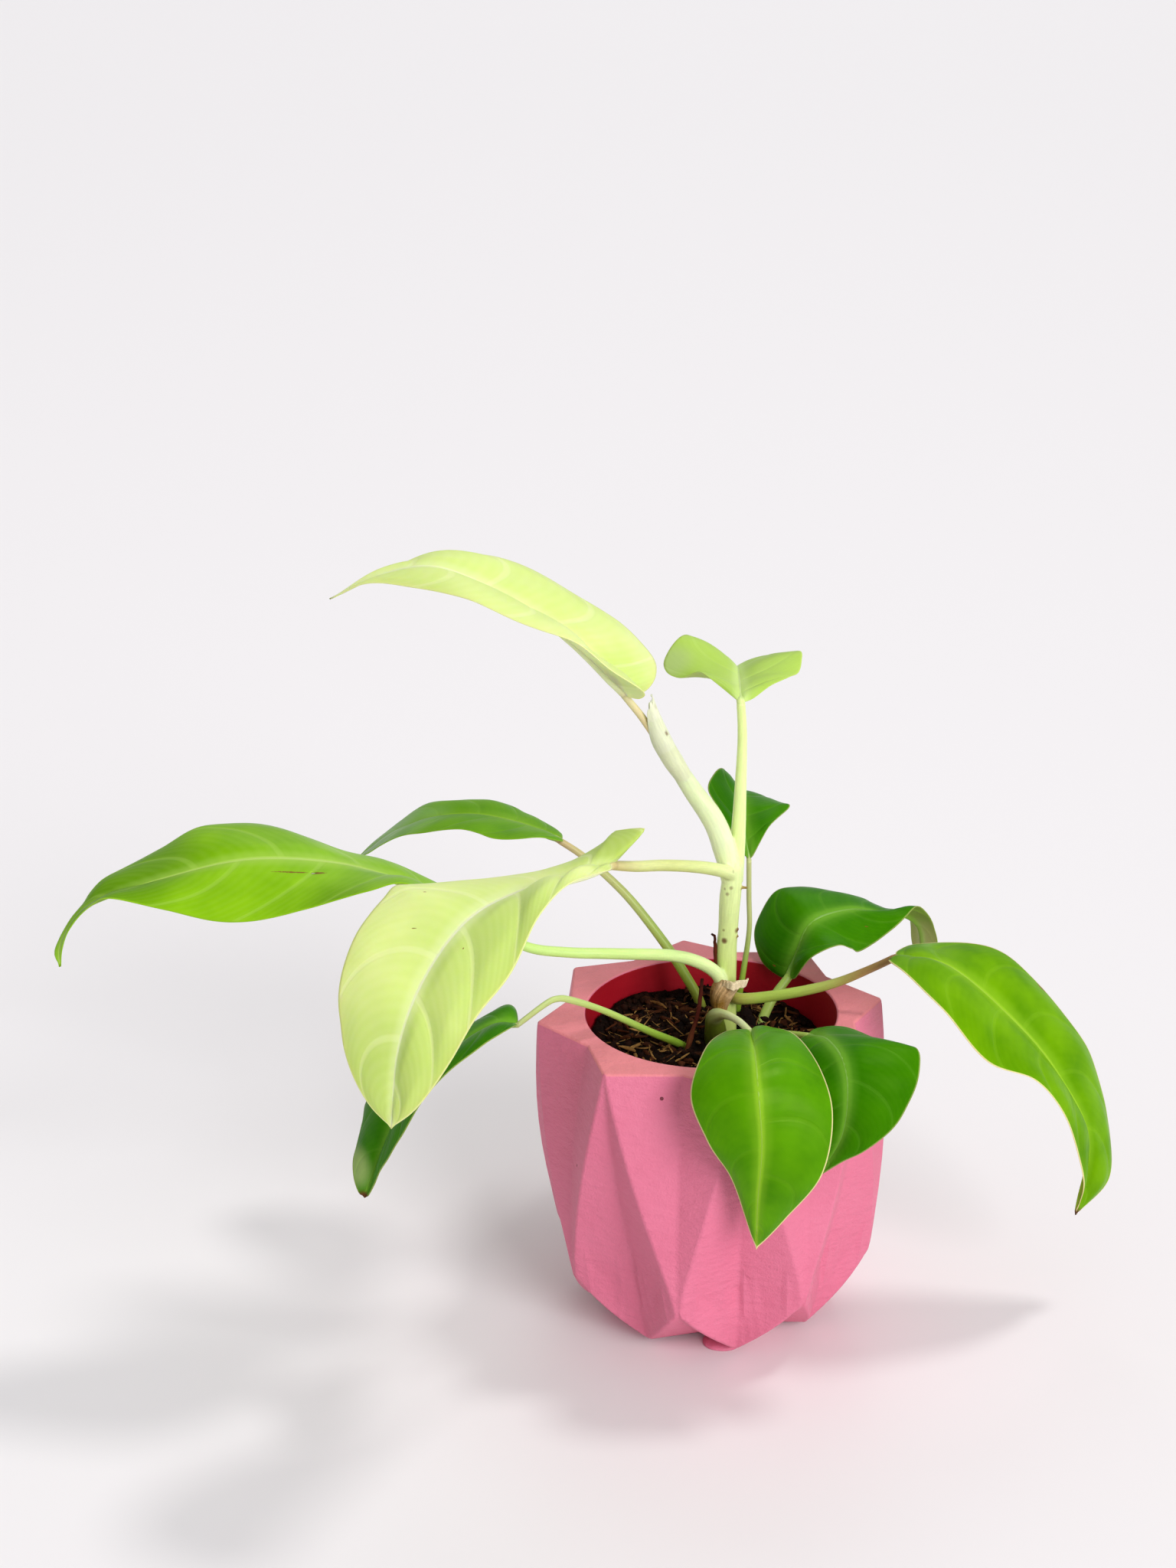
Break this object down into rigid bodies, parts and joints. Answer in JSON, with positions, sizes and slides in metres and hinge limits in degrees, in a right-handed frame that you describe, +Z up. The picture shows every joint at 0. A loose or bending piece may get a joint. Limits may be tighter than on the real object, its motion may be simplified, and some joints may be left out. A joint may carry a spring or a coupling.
{
  "type": "potted philodendron",
  "caption": "Lemon lime philodendron with heart-shaped, drooping leaves on long stalks, growing in a faceted cast-cement pot.",
  "frame": {"origin": "centre of the pot's underside, on the surface that the pot stands on", "axes": "+Z up; the front of the plant looks along -Y; +X to the right of someone who faces it"},
  "size_m": [0.3537, 0.24, 0.2652],
  "materials": {
    "cement": "painted cast cement, matt with pinholes",
    "soil": "moist potting mix with bark and coir chips",
    "stem": "smooth pale stem",
    "petiole": "smooth green stalk",
    "tan_petiole": "smooth tan stalk",
    "lime_leaf": "waxy leaf, half gloss",
    "soft_green_leaf": "waxy leaf, half gloss",
    "green_leaf": "waxy leaf, half gloss",
    "deep_green_leaf": "waxy leaf, half gloss",
    "dried_sheath": "dry and papery",
    "withered": "dry, matt"
  },
  "bodies": {
    "root": {"pot": "cement", "soil": "soil", "main_stem": "stem", "newest_petiole": "tan_petiole", "rear_petiole": "petiole", "rear_left_petiole": "petiole", "hanging_petiole": "petiole", "front_petiole": "petiole", "front_right_petiole": "petiole", "curled_petiole": "petiole", "newest_leaf": "lime_leaf", "tall_leaf": "soft_green_leaf", "rear_leaf": "deep_green_leaf", "left_leaf": "green_leaf", "pale_leaf": "lime_leaf", "rear_left_leaf": "deep_green_leaf", "hanging_leaf": "deep_green_leaf", "front_leaf": "green_leaf", "front_right_leaf": "deep_green_leaf", "curled_leaf": "deep_green_leaf", "right_leaf": "green_leaf", "paper_sheath": "dried_sheath", "withered_stalk": "withered", "withered_strip": "withered"}
  },
  "joints": []
}
